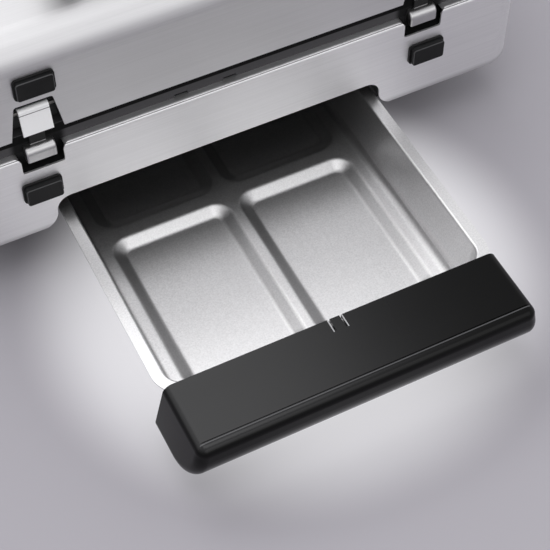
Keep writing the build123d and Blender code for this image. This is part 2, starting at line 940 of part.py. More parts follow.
def leaf_screws(leaf_ends):
    z = sum(leaf_ends) / 2
    seat_y = rear_y + leaf_thick
    heads = []
    for side in sides.values():
        for way in sides.values():
            x = side * hinge_spread / 2 + way * leaf_screw_spread / 2
            heads.append(rod(screw_head_radius, (x, seat_y, z), (x, seat_y + screw_head, z)))
    return group(heads)


# Latches

def latch_pocket(side):
    x = side * latch_x
    half = pocket_mouth / 2
    back = front_y + pocket_depth
    high = lid_low + pocket_height + pocket_wall
    cup = brick(both_ways(x, half + pocket_wall), (front_y + steel_wall, back), (lid_low, high))
    cup -= brick(
        both_ways(x, half), (front_y, back - pocket_wall), (lid_low - cut_over, lid_low + pocket_height),
    )
    return cup - latch_pin(side)


def latch_pin(side):
    reach = pocket_mouth / 2 + pocket_wall
    x = side * latch_x
    return rod(lever_pin_radius, (x - reach, lever_pin_y, lever_pin_z), (x + reach, lever_pin_y, lever_pin_z))


def latch_lever(side):
    half = lever_width / 2
    barrel = rod(lever_barrel, (-half, 0, 0), (half, 0, 0))
    flap = brick((-half, half), (-lever_barrel, lever_sheet - lever_barrel), (-lever_length, 0))
    flap = fillet(flap.faces().sort_by(Axis.Z)[0].edges().filter_by(Axis.X), lever_edge)
    claw_low = claw_setback - lever_length
    claw = brick(
        both_ways(0, claw_width / 2),
        (lever_sheet - lever_barrel, lever_sheet - lever_barrel + claw_reach),
        (claw_low, claw_low + claw_thick),
    )
    lever = barrel + flap + claw
    lever -= rod(lever_pin_radius + pin_play, (-half - cut_over, 0, 0), (half + cut_over, 0, 0))
    return Pos(side * latch_x, lever_pin_y, lever_pin_z) * Rot(-lever_angle, 0, 0) * lever


def keeper(side):
    low = base_top - keeper_drop
    high = low + keeper_height
    wide = both_ways(side * latch_x, keeper_width / 2)
    block = brick(wide, (front_y - keeper_proud, deck_front), (low, high))
    front_top = block.edges().filter_by(Axis.X).group_by(Axis.Z)[-1].sort_by(Axis.Y)[0]
    block = fillet(front_top, keeper_edge)
    uprights = block.edges().filter_by(Axis.Z).sort_by(Axis.Y)[:2]
    block = fillet(uprights, keeper_side_edge)
    lip_low = lever_pin_z - lever_length + claw_setback + claw_thick + strike_gap
    lip_high = lip_low + strike_sheet
    x_ends = both_ways(side * latch_x, claw_width / 2)
    block += brick(x_ends, (deck_front - strike_sheet, deck_front), (high, lip_high))
    lip_y = (deck_front - strike_sheet - strike_reach, deck_front)
    return block + brick(x_ends, lip_y, (lip_low, lip_high))


def keeper_pocket(side):
    x = side * latch_x
    half = keeper_slot_width / 2 + keeper_slot_flare
    back = front_y + flange_width
    high = base_top - steel_wall
    low = base_top - keeper_slot_depth - pocket_wall
    cup = brick(both_ways(x, half + pocket_wall), (front_y + steel_wall, back), (low, high))
    return cup - brick(
        both_ways(x, half), (front_y, back - pocket_wall), (low + pocket_wall, high + cut_over),
    )


def bumper(x, z, proud):
    root_y = front_y - bumper_flange
    flange = brick(both_ways(x, bumper_width / 2), (root_y, front_y), both_ways(z, bumper_height / 2))
    flange = fillet(flange.edges().filter_by(Axis.Y), bumper_corner)
    x_ends = both_ways(x, bumper_width / 2 - bumper_step)
    pad = brick(x_ends, (front_y - proud, root_y), both_ways(z, bumper_height / 2 - bumper_step))
    pad = fillet(pad.edges().filter_by(Axis.Y), bumper_corner - bumper_step)
    return flange + fillet(pad.faces().sort_by(Axis.Y)[0].edges(), bumper_edge)


# Controls on the sides

def knob_axis(side, start, end):
    """Two points on a control's axis at distances out from the side wall."""
    return [(side * (side_x + reach), knob_y, knob_height) for reach in (start, end)]


def left_knob():
    """The left knob: a skirt, a fluted grip and a raised pointer line."""
    side = sides["left"]
    start = bezel_thick + knob_gap
    skirt = rod(knob_skirt_radius, *knob_axis(side, start, start + knob_skirt))
    grip = rod(knob_radius, *knob_axis(side, start + knob_skirt, start + knob_skirt + knob_grip))
    grip = fillet(grip.edges().sort_by(Axis.X)[0], knob_edge)
    flute_ends = knob_axis(side, start + knob_skirt, start + knob_skirt + knob_grip + cut_over)
    flute = Pos(0, 0, knob_radius + knob_flute_radius / 2) * rod(knob_flute_radius, *flute_ends)
    turn = Axis((0, knob_y, knob_height), (1, 0, 0))
    grip = grip.cut(*[flute.rotate(turn, 360 * (k + 0.5) / knob_flutes) for k in range(knob_flutes)])
    face = side * (side_x + start + knob_skirt + knob_grip)
    pointer = brick(
        (face, face + side * knob_pointer_height),
        both_ways(knob_y, knob_pointer_width / 2),
        (knob_height + shaft_radius, knob_height + knob_radius - knob_edge),
    )
    return skirt + grip + pointer


def knob_shaft(side):
    inner = -steel_wall - thermostat_thick / 2
    return rod(shaft_radius, *knob_axis(side, inner, bezel_thick + knob_gap))


def knob_bezel(side):
    plate = rod(bezel_radius, *knob_axis(side, 0, bezel_thick))
    return plate - rod(shaft_radius + hole_gap, *knob_axis(side, -cut_over, bezel_thick + cut_over))


def thermostat(side):
    half = thermostat_size / 2
    outer = side * (side_x - steel_wall)
    x_ends = (outer, outer - side * thermostat_thick)
    case = brick(x_ends, both_ways(knob_y, half), both_ways(knob_height, half))
    inner = -steel_wall - thermostat_thick / 2
    return case - rod(shaft_radius + pin_play, *knob_axis(side, inner, 0))


def pilot_lamp(side):
    y = knob_y + lamp_shift
    reaches = (-steel_wall, 0, lamp_flange, lamp_proud)
    points = [(side * (side_x + reach), y, knob_height) for reach in reaches]
    lamp = rod(lamp_radius, points[0], points[3])
    outer = lamp.edges().sort_by(Axis.X)[-1 if side > 0 else 0]
    lamp = fillet(outer, lamp_edge)
    return lamp + rod(lamp_flange_radius, points[1], points[2])


# Mains inlet with its three blades

def mains_inlet():
    back = rear_y - inlet_deep
    housing = brick(
        both_ways(inlet_shift, inlet_width / 2),
        (back, rear_y + inlet_flange),
        both_ways(inlet_height, inlet_tall / 2),
    )
    housing += brick(
        both_ways(inlet_shift, inlet_flange_width / 2),
        (rear_y, rear_y + inlet_flange),
        both_ways(inlet_height, inlet_flange_tall / 2),
    )
    return housing - brick(
        both_ways(inlet_shift, inlet_width / 2 - inlet_wall),
        (back + inlet_wall, rear_y + inlet_flange + cut_over),
        both_ways(inlet_height, inlet_tall / 2 - inlet_wall),
    )


def inlet_pins():
    start = rear_y - inlet_deep + inlet_wall
    pins = []
    for k, lift in ((-1, -1), (0, 1), (1, -1)):
        pins.append(brick(
            both_ways(inlet_shift + k * inlet_pin_pitch, inlet_pin_width / 2),
            (start, start + inlet_pin_long),
            both_ways(inlet_height + lift * inlet_pin_tall / 2, inlet_pin_tall / 2),
        ))
    return group(pins)


# Every piece is written under its own name

def main():
    os.makedirs("parts", exist_ok=True)
    write("base_shell", base_shell())
    write("bottom_pan", bottom_pan())
    write("drain_chute", drain_chute())
    write("rubber_feet", rubber_feet())
    write("foot_screws", foot_screws())
    write("rail_rivets", rail_rivets())
    write("deck_ring", deck_ring())
    write("lower_plate", lower_plate())
    write("lower_heater", heater(lower_heater_z()))
    write("lower_heater_clips", heater_clips(lower_heater_z(), reflector_low() + reflector_sheet))
    write("lower_reflector", lower_reflector())
    write("lid_shell", lid_shell())
    write("lid_liner", lid_liner())
    write("upper_plate", upper_plate())
    write("upper_heater", heater(upper_heater_z()))
    bowl_high = liner_high() + reflector_depth - reflector_sheet
    write("upper_heater_clips", heater_clips(upper_heater_z(), bowl_high))
    write("upper_reflector", upper_reflector())
    write("lid_grip", lid_grip())
    write("grip_caps", grip_caps())
    base_knuckles, lid_knuckles = knuckle_spans()
    write("hinge_base_screws", leaf_screws(base_leaf_ends()))
    write("hinge_lid_screws", leaf_screws(lid_leaf_ends()))
    write("drip_tray", drip_tray())
    write("tray_handle", tray_handle())
    write("tray_screws", tray_screws())
    write("mains_inlet", mains_inlet())
    write("inlet_pins", inlet_pins())
    for name, side in sides.items():
        write("tray_rail_" + name, tray_rail(side))
        write("hinge_base_" + name, hinge_half(side, base_knuckles, base_leaf_ends()))
        write("hinge_lid_" + name, hinge_half(side, lid_knuckles, lid_leaf_ends()))
        write("hinge_pin_" + name, hinge_pin(side))
        write("lid_post_" + name, lid_post(side))
        write("latch_pocket_" + name, latch_pocket(side))
        write("latch_pin_" + name, latch_pin(side))
        write("latch_lever_" + name, latch_lever(side))
        write("keeper_" + name, keeper(side))
        write("keeper_pocket_" + name, keeper_pocket(side))
        lid_x = side * lid_bumper_spread / 2
        write("lid_bumper_" + name, bumper(lid_x, lid_low + lid_bumper_lift, lid_bumper_proud))
        base_x = side * base_bumper_spread / 2
        write("base_bumper_" + name, bumper(base_x, base_top - base_bumper_drop, base_bumper_proud))
        write("knob_" + name, left_knob() if side < 0 else mirror(left_knob(), about=Plane.YZ))
        write("knob_shaft_" + name, knob_shaft(side))
        write("knob_bezel_" + name, knob_bezel(side))
        write("thermostat_" + name, thermostat(side))
        write("pilot_lamp_" + name, pilot_lamp(side))


main()
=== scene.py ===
import logging
import math
from dataclasses import dataclass, field
from enum import Enum
from functools import lru_cache
from typing import Any, Dict, Iterable, List, Optional, Sequence, Tuple, Union

import bmesh
import bpy
from mathutils import Matrix, Vector


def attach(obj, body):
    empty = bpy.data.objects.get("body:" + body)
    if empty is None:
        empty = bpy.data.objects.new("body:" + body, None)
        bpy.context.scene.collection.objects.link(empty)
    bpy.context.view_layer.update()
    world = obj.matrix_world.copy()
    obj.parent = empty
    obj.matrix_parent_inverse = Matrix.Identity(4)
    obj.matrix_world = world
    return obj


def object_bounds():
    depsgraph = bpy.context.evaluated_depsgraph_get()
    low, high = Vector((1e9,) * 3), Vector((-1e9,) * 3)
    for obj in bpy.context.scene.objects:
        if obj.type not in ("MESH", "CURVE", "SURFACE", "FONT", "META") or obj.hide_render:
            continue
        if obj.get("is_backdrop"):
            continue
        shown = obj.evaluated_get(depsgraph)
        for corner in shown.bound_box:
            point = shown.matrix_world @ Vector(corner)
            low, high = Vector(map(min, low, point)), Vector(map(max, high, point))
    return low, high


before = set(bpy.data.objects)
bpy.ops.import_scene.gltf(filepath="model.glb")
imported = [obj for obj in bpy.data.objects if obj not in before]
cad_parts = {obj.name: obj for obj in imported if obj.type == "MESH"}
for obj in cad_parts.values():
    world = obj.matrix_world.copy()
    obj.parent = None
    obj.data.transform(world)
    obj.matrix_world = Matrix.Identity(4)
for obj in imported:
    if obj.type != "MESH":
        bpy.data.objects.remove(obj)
CAD_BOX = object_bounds()

LOG = logging.getLogger("grill")
MM = 0.001

Colour = Tuple[float, float, float]
Point = Tuple[float, float, float]
Pair = Tuple[float, float]
# Colour of painted shade on mouldings.
PAINTED_SHADE_TINT: Colour = (0.003, 0.003, 0.003)


class Axis(Enum):
    """An axis of the part's frame."""

    X = 0
    Y = 1
    Z = 2


class Side(Enum):
    """A side of the grill, with its direction along X."""

    LEFT = -1.0
    RIGHT = 1.0

    @property
    def label(self) -> str:
        """The side's part of a piece's name."""
        return self.name.lower()


class Signal:
    """A shader socket that takes part in Python expressions."""

    def __init__(self, tree: "ShaderTree", socket: bpy.types.NodeSocket) -> None:
        """Keeps the tree that new nodes go to and the socket that is read."""
        self.tree = tree
        self.socket = socket

    def _math(self, operation: str, first: Any, second: Any) -> "Signal":
        """Adds a Math node.

        Args:
            operation: The Math node's operation.
            first: Its first value or signal.
            second: Its second value or signal.

        Returns:
            The node's result.
        """
        return self.tree.node("ShaderNodeMath", {"operation": operation}, {0: first, 1: second})

    def __add__(self, other: Any) -> "Signal":
        """Sum of this and other."""
        return self._math("ADD", self, other)

    def __radd__(self, other: Any) -> "Signal":
        """Sum of other and this."""
        return self._math("ADD", other, self)

    def __sub__(self, other: Any) -> "Signal":
        """This less other."""
        return self._math("SUBTRACT", self, other)

    def __rsub__(self, other: Any) -> "Signal":
        """Other less this."""
        return self._math("SUBTRACT", other, self)

    def __mul__(self, other: Any) -> "Signal":
        """Product of this and other."""
        return self._math("MULTIPLY", self, other)

    def __rmul__(self, other: Any) -> "Signal":
        """Product of other and this."""
        return self._math("MULTIPLY", other, self)

    def __pow__(self, other: Any) -> "Signal":
        """This to the power of other."""
        return self._math("POWER", self, other)

    def __gt__(self, other: Any) -> "Signal":
        """One where this is greater than other."""
        return self._math("GREATER_THAN", self, other)

    def __lt__(self, other: Any) -> "Signal":
        """One where this is less than other."""
        return self._math("LESS_THAN", self, other)

    def __abs__(self) -> "Signal":
        """Size of this without its sign."""
        return self._math("ABSOLUTE", self, 0.0)


class ShaderTree:
    """The node tree of one material, with its Principled shader and its output."""

    def __init__(self, material: bpy.types.Material) -> None:
        """Empties the material's tree and adds the shader and the output.

        Args:
            material: The material whose tree this is.
        """
        material.use_nodes = True
        self.tree = material.node_tree
        self.tree.nodes.clear()
        self.output = self.tree.nodes.new("ShaderNodeOutputMaterial")
        self.shader = self.tree.nodes.new("ShaderNodeBsdfPrincipled")
        self.tree.links.new(self.shader.outputs[0], self.output.inputs["Surface"])

    def node(
        self,
        kind: str,
        settings: Optional[Dict[str, Any]] = None,
        inputs: Optional[Dict[Union[int, str], Any]] = None,
        output: Union[int, str] = 0,
    ) -> Signal:
        """Adds any node.

        Args:
            kind: The node's type.
            settings: Its settings; a ramp's stops go under "stops" as pairs of place and colour.
            inputs: Values or signals by socket name or number.
            output: The socket that is returned.

        Returns:
            The chosen output as a signal.
        """
        made = self.tree.nodes.new(kind)
        for key, value in (settings or {}).items():
            if key == "stops":
                self._stops(made, value)
            else:
                setattr(made, key, value)
        for key, value in (inputs or {}).items():
            if isinstance(value, Signal):
                self.tree.links.new(value.socket, made.inputs[key])
            else:
                made.inputs[key].default_value = value
        return Signal(self, made.outputs[output])

    @staticmethod
    def _stops(ramp: bpy.types.Node, stops: Sequence[Pair]) -> None:
        """Sets a ramp's grey stops.

        Args:
            ramp: The ramp node.
            stops: Pairs of place and grey value.
        """
        elements = ramp.color_ramp.elements
        while len(elements) < len(stops):
            elements.new(1.0)
        for element, (place, value) in zip(elements, stops):
            element.position = place
            element.color = (value, value, value, 1.0)

    def set(self, **values: Any) -> None:
        """Sets or links inputs of the Principled shader.

        Args:
            values: Socket names with _ for a space, and their values or signals.
        """
        for key, value in values.items():
            socket = self.shader.inputs[key.replace("_", " ")]
            if isinstance(value, Signal):
                self.tree.links.new(value.socket, socket)
            else:
                socket.default_value = value

    def place(self) -> Signal:
        """The surface's place in the part's own frame."""
        return self.node("ShaderNodeTexCoord", output="Object")

    def normal_axis(self, axis: Axis) -> Signal:
        """One axis of the surface's outward direction in the part's own frame."""
        normal = self.node("ShaderNodeTexCoord", output="Normal")
        return self.node("ShaderNodeSeparateXYZ", inputs={0: normal}, output=axis.name)

    def axis(self, axis: Axis) -> Signal:
        """One axis of the surface's place."""
        return self.node("ShaderNodeSeparateXYZ", inputs={0: self.place()}, output=axis.name)

    def noise(self, per_m: Union[float, Point], detail: float = 2.0, roughness: float = 0.5) -> Signal:
        """Noise over the surface.

        Args:
            per_m: How often it changes per metre, along each axis where there are three values.
            detail: Number of finer layers.
            roughness: Strength of the finer layers.

        Returns:
            The noise from 0 to 1.
        """
        scale = (per_m, per_m, per_m) if isinstance(per_m, float) else per_m
        scaled = self.node("ShaderNodeMapping", inputs={"Vector": self.place(), "Scale": scale})
        values = {"Vector": scaled, "Scale": 1.0, "Detail": detail, "Roughness": roughness}
        return self.node("ShaderNodeTexNoise", inputs=values)

    def ramp(self, signal: Signal, stops: Sequence[Pair]) -> Signal:
        """Grey ramp over a signal."""
        return self.node("ShaderNodeValToRGB", {"stops": stops}, {"Fac": signal})

    def mix(
        self, factor: Union[float, Signal], first: Union[Colour, Signal], second: Union[Colour, Signal]
    ) -> Signal:
        """Colour that goes from first to second as factor goes from 0 to 1."""
        values = {0: factor, 6: as_input(first), 7: as_input(second)}
        return self.node("ShaderNodeMix", {"data_type": "RGBA"}, values, 2)

    def step(self, signal: Signal, ends: Pair, values: Pair = (0.0, 1.0)) -> Signal:
        """Soft step over a signal.

        Args:
            signal: What is read.
            ends: Where the step starts and ends.
            values: What it gives before and after.

        Returns:
            The step's value.
        """
        inputs = {"Value": signal, "From Min": ends[0], "From Max": ends[1]}
        inputs.update({"To Min": values[0], "To Max": values[1]})
        return self.node("ShaderNodeMapRange", {"interpolation_type": "SMOOTHSTEP"}, inputs)

    def inset(self, half: Pair, middle: Pair, corner: float) -> Signal:
        """How far a place lies inside an upright wall with rounded corners.

        Args:
            half: Half the wall's width and depth.
            middle: Where its middle lies along X and Y.
            corner: Its corner radius.

        Returns:
            The distance, which is below zero outside.
        """
        across = abs(self.axis(Axis.X) - middle[0]) - (half[0] - corner)
        along = abs(self.axis(Axis.Y) - middle[1]) - (half[1] - corner)
        largest = {"operation": "MAXIMUM"}
        over = [self.node("ShaderNodeMath", largest, {0: way, 1: 0.0}) for way in (across, along)]
        larger = self.node("ShaderNodeMath", largest, {0: across, 1: along})
        inner = self.node("ShaderNodeMath", {"operation": "MINIMUM"}, {0: larger, 1: 0.0})
        return corner - inner - (over[0] * over[0] + over[1] * over[1]) ** 0.5

    def overlay(self, factor: Signal, shader: Signal) -> None:
        """Mixes another shader over the Principled shader.

        Args:
            factor: How much of the other shader shows.
            shader: The other shader.
        """
        values = {0: factor, 1: Signal(self, self.shader.outputs[0]), 2: shader}
        mixed = self.node("ShaderNodeMixShader", inputs=values)
        self.tree.links.new(mixed.socket, self.output.inputs["Surface"])

    def bump(self, height: Signal, strength: float, distance: float) -> None:
        """Feeds a height into the shader's Normal.

        Args:
            height: The height as a signal.
            strength: How strongly it shows.
            distance: The height's size in metres.
        """
        values = {"Height": height, "Strength": strength, "Distance": distance}
        self.set(Normal=self.node("ShaderNodeBump", inputs=values))


def as_input(colour: Union[Colour, Signal]) -> Any:
    """A colour with its alpha, or a signal as it is."""
    return colour if isinstance(colour, Signal) else (*colour, 1.0)


def shade(colour: Colour, share: float) -> Colour:
    """A darker or paler colour of the same hue."""
    return tuple(channel * share for channel in colour)


@dataclass(frozen=True)
class Finish:
    """A finish that is painted once and then shared by its pieces."""

    name: str

    def paint(self, tree: ShaderTree) -> None:
        """Sets the shader's sockets.

        Args:
            tree: The material\'s nodes.
        """
        raise NotImplementedError

    @lru_cache(maxsize=None)
    def material(self) -> bpy.types.Material:
        """Makes the material at its first use.

        Returns:
            The material, which later uses share.
        """
        made = bpy.data.materials.new(self.name)
        self.paint(ShaderTree(made))
        return made

    def dress(self, obj: bpy.types.Object) -> bpy.types.Object:
        """Puts the finish on an object.

        Args:
            obj: The object to dress.

        Returns:
            The same object.
        """
        obj.data.materials.clear()
        obj.data.materials.append(self.material())
        return obj


@dataclass(frozen=True)
class BrushedSteel(Finish):
    """Steel sheet with fine brushed lines that lie level on upright faces."""

    tint: Colour = (0.94, 0.935, 0.945)
    roughness: float = 0.50
    lines_per_m: float = 1100.0
    drift_per_m: float = 9.0
    contrast: float = 0.19
    hem_high: Optional[float] = None
    hem_deep: float = 4.0 * MM
    hem_shade: float = 0.72
    seam_low: Optional[float] = None
    seam_deep: float = 0.95 * MM
    seam_half: float = 0.2 * MM
    wall_half: Pair = (0.210, 0.160)
    wall_middle: Pair = (0.0, 0.09475)
    wall_corner: float = 0.022

    def paint(self, tree: ShaderTree) -> None:
        """Paints the brushed lines, slow cloudy changes, painted shade on the hem and a line of painted
        shade in the seam of the top edge.

        Args:
            tree: The material\'s nodes.
        """
        front = tree.noise((self.drift_per_m, self.lines_per_m, self.lines_per_m), 3.0, 0.6)
        side = tree.noise((self.lines_per_m, self.drift_per_m, self.lines_per_m), 3.0, 0.6)
        on_side = abs(tree.normal_axis(Axis.X)) > 0.7
        lines = front * (1.0 - on_side) + side * on_side
        cloud = tree.noise((7.0, 7.0, 14.0), 2.0, 0.4)
        light = 1.0 - self.contrast * (1.0 - lines) - 0.08 * (1.0 - cloud)
        # Painted shade darkens the sheet below its hem's top, where the rolled hem turns under.
        if self.hem_high is not None:
            ends = (self.hem_high - self.hem_deep, self.hem_high)
            light = light * tree.step(tree.axis(Axis.Z), ends, (self.hem_shade, 1.0))
        # A thin line of painted shade in the seam of the top edge.
        if self.seam_low is not None:
            depth = tree.inset(self.wall_half, self.wall_middle, self.wall_corner)
            seam = (abs(depth - self.seam_deep) < self.seam_half) * (tree.axis(Axis.Z) > self.seam_low)
            light = light * (1.0 - 0.88 * seam)
        dark = shade(self.tint, 0.05)
        tree.set(
            Base_Color=tree.mix(light, dark, self.tint),
            Roughness=self.roughness + 0.16 * (lines - 0.5),
            Metallic=1.0,
        )
        tree.bump(lines, 0.12, 0.02 * MM)


@dataclass(frozen=True)
class GrainedSteel(Finish):
    """Satin sheet with a fine sand grain, painted shade towards the tray's rear and on the basins' side
    slopes.
    """

    tint: Colour = (0.92, 0.915, 0.92)
    roughness: float = 0.40
    grains_per_m: float = 950.0
    rear_shade_ends: Pair = (-0.12, -0.03)
    rear_shade_light: float = 0.5
    slope_ends: Pair = (0.06, 0.32)
    slope_high: float = 0.030
    left_slope_shade: float = 0.58
    right_slope_shade: float = 0.84

    def paint(self, tree: ShaderTree) -> None:
        """Paints the grain, rolled streaks, painted shade towards the rear and painted shade on the basins'
        side slopes.

        Args:
            tree: The material\'s nodes.
        """
        grain = tree.noise(self.grains_per_m, 2.0, 0.7)
        streak = tree.noise((400.0, 6.0, 400.0))
        light = 0.90 + 0.50 * (grain - 0.5) + 0.06 * (streak - 0.5)
        # Painted shade darkens the tray towards its rear, under the body.
        rear_shade_mask = tree.step(tree.axis(Axis.Y), self.rear_shade_ends, (1.0, self.rear_shade_light))
        # Painted shade on the basins' side slopes, darker on slopes that face +X than on those that face
        # -X.
        on_slope = (tree.normal_axis(Axis.Z) > 0.35) * (tree.axis(Axis.Z) < self.slope_high)
        lean = tree.normal_axis(Axis.X) * on_slope
        left = tree.step(lean, self.slope_ends, (1.0, self.left_slope_shade))
        right = tree.step(0.0 - lean, self.slope_ends, (1.0, self.right_slope_shade))
        tree.set(
            Base_Color=tree.mix(light * rear_shade_mask * left * right, shade(self.tint, 0.04), self.tint),
            Roughness=self.roughness + 0.16 * (grain - 0.5),
            Metallic=1.0,
        )
        tree.bump(grain, 0.22, 0.05 * MM)


@dataclass(frozen=True)
class Moulding(Finish):
    """Moulded plastic with a fine spark grain."""

    tint: Colour = (0.012, 0.012, 0.0125)
    roughness: float = 0.24
    grains_per_m: float = 1800.0
    grain_depth: float = 0.06
    sheen: float = 0.35

    def paint(self, tree: ShaderTree) -> None:
        """Paints the grain, slow changes of gloss and any painted shade that the piece asks for.

        Args:
            tree: The material\'s nodes.
        """
        grain = tree.noise(self.grains_per_m)
        cloud = tree.noise(12.0)
        pale = tuple(min(1.0, channel * 1.5 + 0.004) for channel in self.tint)
        unshaded = tree.mix(cloud * 0.7 + grain * 0.3, self.tint, pale)
        tree.set(
            # Painted shade darkens the colour where the piece's share of it is above zero.
            Base_Color=tree.mix(self.soot(tree), unshaded, PAINTED_SHADE_TINT),
            Roughness=self.roughness + 0.08 * (cloud - 0.5) + 0.06 * (grain - 0.5),
            Specular_IOR_Level=self.sheen,
        )
        tree.bump(grain, self.grain_depth, 0.02 * MM)

    def soot(self, tree: ShaderTree) -> Union[float, Signal]:
        """How much painted shade darkens the surface, which is none on most pieces."""
        return 0.0


@dataclass(frozen=True)
class BandPlastic(Moulding):
    """Moulded band with painted shade at the latches, in the vents and in a line under the lid."""

    latch_x: float = 0.131
    latch_ends: Pair = (14.0 * MM, 19.0 * MM)
    latch_soot: float = 0.9
    line_ends: Pair = (0.1145, 0.1151)
    front_y: float = -0.05925
    front_deep: float = 9.0 * MM
    vent_deep: float = 0.3 * MM
    high: float = 0.1215

    def soot(self, tree: ShaderTree) -> Signal:
        """Painted shade on the band's front.

        Args:
            tree: The material's nodes.

        Returns:
            How much painted shade darkens the band, from 0 to 1.
        """
        across, along, height = (tree.axis(axis) for axis in Axis)
        # Painted shade in the latch recesses, inside the vents and in the gap line under the lid.
        front = (along < self.front_y + self.front_deep) * (height < self.high)
        latch = tree.step(abs(abs(across) - self.latch_x), self.latch_ends, (self.latch_soot, 0.0))
        line = tree.step(height, self.line_ends)
        vent = along > self.front_y + self.vent_deep
        return front * (1.0 - (1.0 - latch) * (1.0 - line) * (1.0 - vent))


@dataclass(frozen=True)
class KnobPlastic(Moulding):
    """Moulded knob with a pale line on its pointer."""

    pointer_low: float = 0.22820
    mark: Colour = (0.72, 0.72, 0.70)

    def paint(self, tree: ShaderTree) -> None:
        """Paints the grain and the pointer's top.

        Args:
            tree: The material\'s nodes.
        """
        grain = tree.noise(self.grains_per_m)
        pale = shade(self.tint, 1.8)
        pointer = abs(tree.axis(Axis.X)) > self.pointer_low
        tree.set(
            Base_Color=tree.mix(pointer, tree.mix(grain, self.tint, pale), self.mark),
            Roughness=self.roughness + 0.10 * (grain - 0.5),
            Specular_IOR_Level=self.sheen,
        )
        tree.bump(grain, self.grain_depth, 0.02 * MM)


@dataclass(frozen=True)
class PullPlastic(Moulding):
    """Moulded pull with a painted sheen on its top towards one end, where its clear coat is also stronger,
    and painted highlights at its groove and snap tab.
    """

    painted_sheen_tint: Colour = (0.020, 0.020, 0.021)
    span: Pair = (-0.135, 0.105)
    tab_x: float = -0.013
    tab_half: float = 3.25 * MM
    tab_slit: float = 1.2 * MM
    tab_y: float = -0.2262
    lip_half: float = 0.35 * MM
    lip_highlight_tint: Colour = (0.45, 0.45, 0.46)
    crease_y: float = -0.26105
    crease_z: float = 0.0542
    crease_half: float = 0.35 * MM
    crease_highlight_tint: Colour = (0.10, 0.10, 0.105)
    coat: float = 0.40
    coat_roughness: float = 0.18

    def paint(self, tree: ShaderTree) -> None:
        """Paints grain, the painted sheen and coat, the painted highlight along the groove and the painted
        highlights at the tab's edges.

        Args:
            tree: The material\'s nodes.
        """
        grain = tree.noise(self.grains_per_m)
        cloud = tree.noise((9.0, 30.0, 30.0))
        # Painted sheen: upward faces are paler towards the low-X end, where the clear coat is stronger too.
        upward = tree.step(tree.normal_axis(Axis.Z), (0.55, 0.95))
        coat_and_sheen = tree.step(tree.axis(Axis.X), self.span, (1.0, 0.0)) * upward
        # A painted highlight along the front of the groove and painted highlights at the edges of the snap
        # tab.
        on_crease = abs(tree.axis(Axis.Y) - self.crease_y) < self.crease_half
        crease = on_crease * (tree.axis(Axis.Z) > self.crease_z)
        away = abs(tree.axis(Axis.X) - self.tab_x) - (self.tab_half + self.tab_slit + self.lip_half)
        lip = (abs(away) < self.lip_half) * (tree.axis(Axis.Y) > self.tab_y)
        plain = tree.mix(coat_and_sheen * (0.85 + 0.3 * (cloud - 0.5)), self.tint, self.painted_sheen_tint)
        lined = tree.mix(crease * 0.9, plain, self.crease_highlight_tint)
        tree.set(
            Base_Color=tree.mix(lip, lined, self.lip_highlight_tint),
            Roughness=self.roughness + 0.06 * (cloud - 0.5) + 0.05 * (grain - 0.5),
            Coat_Weight=coat_and_sheen * self.coat,
            Coat_Roughness=self.coat_roughness,
            Specular_IOR_Level=self.sheen,
        )
        tree.bump(grain, self.grain_depth, 0.02 * MM)


@dataclass(frozen=True)
class PlainMetal(Finish):
    """Plated or cast metal with small scuffs."""

    tint: Colour = (0.55, 0.55, 0.56)
    roughness: float = 0.30
    scuffs_per_m: float = 260.0
    contrast: float = 0.18

    def paint(self, tree: ShaderTree) -> None:
        """Paints scuffs and fine grain.

        Args:
            tree: The material\'s nodes.
        """
        scuff = tree.noise(self.scuffs_per_m, 4.0, 0.6)
        fine = tree.noise(2400.0, 1.0, 0.5)
        light = 1.0 - self.contrast * (1.0 - scuff) - 0.06 * (1.0 - fine)
        dark = shade(self.tint, 0.10)
        tree.set(
            Base_Color=tree.mix(light, dark, self.tint),
            Roughness=self.roughness + 0.15 * (scuff - 0.5),
            Metallic=1.0,
        )
        tree.bump(fine, 0.08, 0.02 * MM)


@dataclass(frozen=True)
class KeeperSteel(PlainMetal):
    """Satin keeper whose strike is painted black as shade under the lever."""

    strike_low: float = 0.1133
    strike_shade_tint: Colour = (0.006, 0.006, 0.006)

    def paint(self, tree: ShaderTree) -> None:
        """Paints scuffs and the painted shade on the strike.

        Args:
            tree: The material\'s nodes.
        """
        scuff = tree.noise(self.scuffs_per_m, 4.0, 0.6)
        # The strike above strike_low is painted black, as painted shade under the lever.
        black = tree.axis(Axis.Z) > self.strike_low
        light = (1.0 - self.contrast * (1.0 - scuff)) * (1.0 - black)
        tree.set(
            Base_Color=tree.mix(light, self.strike_shade_tint, self.tint),
            Roughness=self.roughness + 0.15 * (scuff - 0.5) + 0.3 * black,
            Metallic=1.0 - 0.9 * black,
        )
        tree.bump(scuff, 0.06, 0.03 * MM)


@dataclass(frozen=True)
class LeverChrome(Finish):
    """Polished plate with a line of painted shade under its rolled top edge."""

    tint: Colour = (0.97, 0.97, 0.97)
    line_z: float = 0.1418
    line_half: float = 0.30 * MM
    roughness: float = 0.30
    metal: float = 0.12

    def paint(self, tree: ShaderTree) -> None:
        """Paints the line of painted shade and faint polish marks.

        Args:
            tree: The material\'s nodes.
        """
        polish = tree.noise((900.0, 60.0, 60.0))
        # A thin line of painted shade under the rolled top edge.
        line = abs(tree.axis(Axis.Z) - self.line_z) < self.line_half
        dark = shade(self.tint, 0.12)
        tree.set(
            Base_Color=tree.mix(1.0 - line * 0.85 - 0.05 * polish, dark, self.tint),
            Roughness=self.roughness + 0.10 * (polish - 0.5) + 0.2 * line,
            Metallic=self.metal,
        )
        tree.bump(polish, 0.03, 0.02 * MM)


